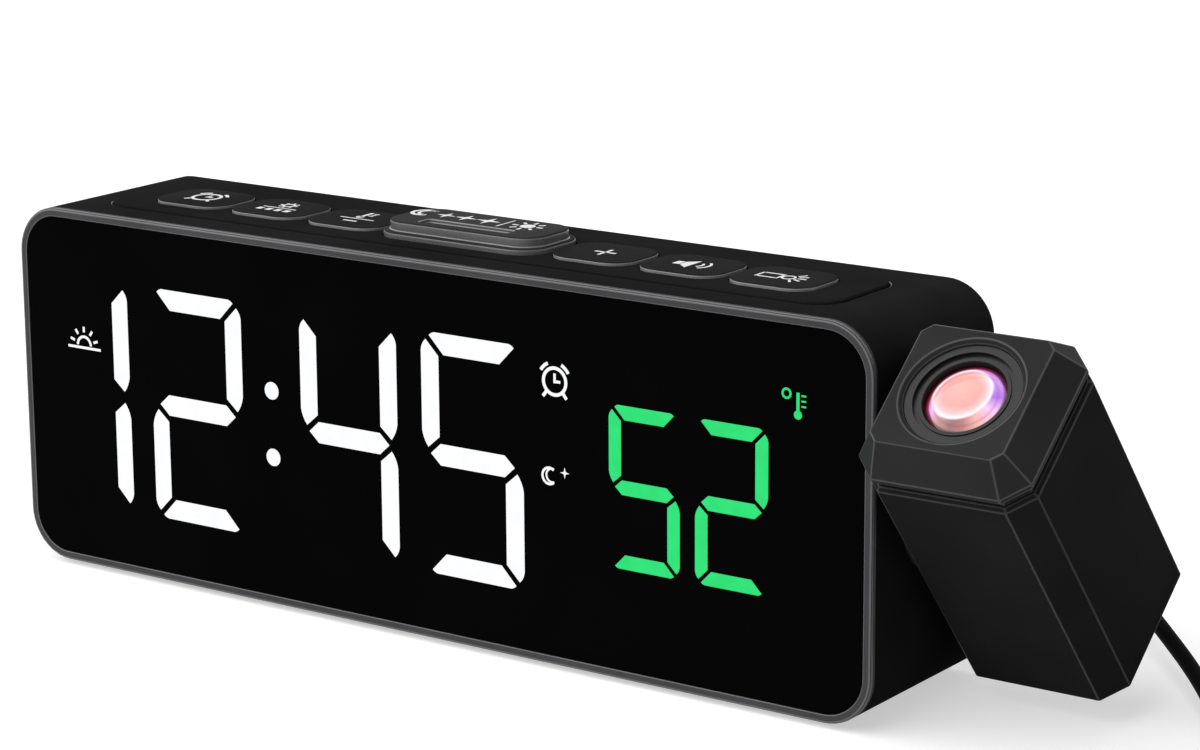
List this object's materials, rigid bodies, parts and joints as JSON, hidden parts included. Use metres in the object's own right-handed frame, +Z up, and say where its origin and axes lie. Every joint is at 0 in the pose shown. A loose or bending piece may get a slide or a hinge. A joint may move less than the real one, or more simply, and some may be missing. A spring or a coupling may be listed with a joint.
{
  "type": "projection alarm clock",
  "caption": "Long box clock with a seven-segment display, keys on top, a tilting projector at one end and a thin supply lead at the back.",
  "frame": {"origin": "table level under the middle of the clock body, on the anti-slip pad", "axes": "+X to the right along the display, towards the projector; -Y out of the display; +Z up"},
  "size_m": [0.3036, 0.096, 0.0755],
  "materials": {
    "case_plastic": "fine moulded texture",
    "bezel_plastic": "satin moulded grey",
    "window_plastic": "polished black",
    "light_white": "lit white diffuser",
    "light_green": "lit green diffuser",
    "dark_segment": "unlit segment",
    "key_plastic": "satin moulded",
    "board": "solder mask",
    "part_black": "moulded",
    "white_plastic": "moulded",
    "lamp": "epoxy",
    "steel": "zinc plated",
    "brass": "turned",
    "rubber": "matt",
    "paper_cone": "pressed paper",
    "cord": "smooth jacket",
    "lens": "clear moulded lens",
    "projector_plastic": "fine moulded texture",
    "ring_plastic": "satin moulded"
  },
  "bodies": {
    "clock": {"main_case": "case_plastic", "front_bezel": "bezel_plastic", "display_window": "window_plastic", "time_segments_lit": "light_white", "time_segments_unlit": "dark_segment", "colon_dots": "light_white", "temperature_segments_lit": "light_green", "temperature_segments_unlit": "dark_segment", "light_block": "part_black", "display_board": "board", "display_lamps": "lamp", "display_screws": "steel", "anti_slip_pad": "rubber", "rear_cover": "case_plastic", "case_screws": "steel", "cell_holder": "part_black", "backup_cell": "steel", "speaker_frame": "steel", "speaker_cone": "paper_cone", "speaker_magnet": "steel", "power_socket": "part_black", "inlet_plug": "brass", "inlet_plug_body": "cord", "key_panel": "key_plastic", "key_board": "board", "tact_switches": "part_black", "main_board": "board", "board_spacers": "brass", "board_parts": "part_black", "ribbon_cable": "white_plastic", "thermistor": "part_black", "spring_washer": "steel", "power_cord": "cord", "cord_coil": "cord", "cord_tail": "cord", "usb_plug_body": "cord", "usb_plug_shell": "steel"},
    "projector": {"projector_housing": "projector_plastic", "projector_cap": "projector_plastic", "projector_board": "board", "projector_lamp": "lamp", "optic_tube": "part_black", "condenser_lens": "lens", "time_lcd": "lens", "pivot_hub": "part_black", "hub_screws": "steel", "retaining_clip": "steel", "projector_wires": "cord"},
    "focus": {"focus_ring": "ring_plastic"},
    "lens": {"lens_cell": "part_black", "projection_lens": "lens"},
    "battery_door": {"battery_door": "case_plastic"},
    "snooze": {"snooze_bar": "key_plastic"},
    "alarm_key": {"alarm_key": "key_plastic"},
    "set_key": {"set_key": "key_plastic"},
    "minus_key": {"minus_key": "key_plastic"},
    "plus_key": {"plus_key": "key_plastic"},
    "volume_key": {"volume_key": "key_plastic"},
    "projector_key": {"projector_key": "key_plastic"}
  },
  "joints": [
    {"name": "projector_tilt", "type": "hinge", "parent": "clock", "child": "projector", "pos_m": [0.0995, 0, 0.0365], "axis": [1, 0, 0], "range_deg": [-130, 50]},
    {"name": "focus_turn", "type": "hinge", "parent": "projector", "child": "focus", "pos_m": [0.11565, -0.01928, 0.05948], "axis": [0, -0.6428, 0.766], "range_deg": [-90, 90]},
    {"name": "lens_slide", "type": "slide", "parent": "projector", "child": "lens", "axis": [0, -0.6428, 0.766], "range_m": [-0.00074, 0.00074]},
    {"name": "battery_door_pull", "type": "slide", "parent": "clock", "child": "battery_door", "axis": [0, 1, 0], "range_m": [0, 0.015]},
    {"name": "snooze_press", "type": "slide", "parent": "clock", "child": "snooze", "axis": [0, 0, -1], "range_m": [0, 0.0008], "stiffness_N_per_m": 400, "springref_m": -0.0015},
    {"name": "alarm_press", "type": "slide", "parent": "clock", "child": "alarm_key", "axis": [0, 0, -1], "range_m": [0, 0.0004], "stiffness_N_per_m": 400, "springref_m": -0.0015},
    {"name": "set_press", "type": "slide", "parent": "clock", "child": "set_key", "axis": [0, 0, -1], "range_m": [0, 0.0004], "stiffness_N_per_m": 400, "springref_m": -0.0015},
    {"name": "minus_press", "type": "slide", "parent": "clock", "child": "minus_key", "axis": [0, 0, -1], "range_m": [0, 0.0004], "stiffness_N_per_m": 400, "springref_m": -0.0015},
    {"name": "plus_press", "type": "slide", "parent": "clock", "child": "plus_key", "axis": [0, 0, -1], "range_m": [0, 0.0004], "stiffness_N_per_m": 400, "springref_m": -0.0015},
    {"name": "volume_press", "type": "slide", "parent": "clock", "child": "volume_key", "axis": [0, 0, -1], "range_m": [0, 0.0004], "stiffness_N_per_m": 400, "springref_m": -0.0015},
    {"name": "projector_press", "type": "slide", "parent": "clock", "child": "projector_key", "axis": [0, 0, -1], "range_m": [0, 0.0004], "stiffness_N_per_m": 400, "springref_m": -0.0015}
  ],
  "couplings": [
    {"joint": "focus_turn", "follows": "lens_slide", "rad_per_m": 2094.4}
  ]
}
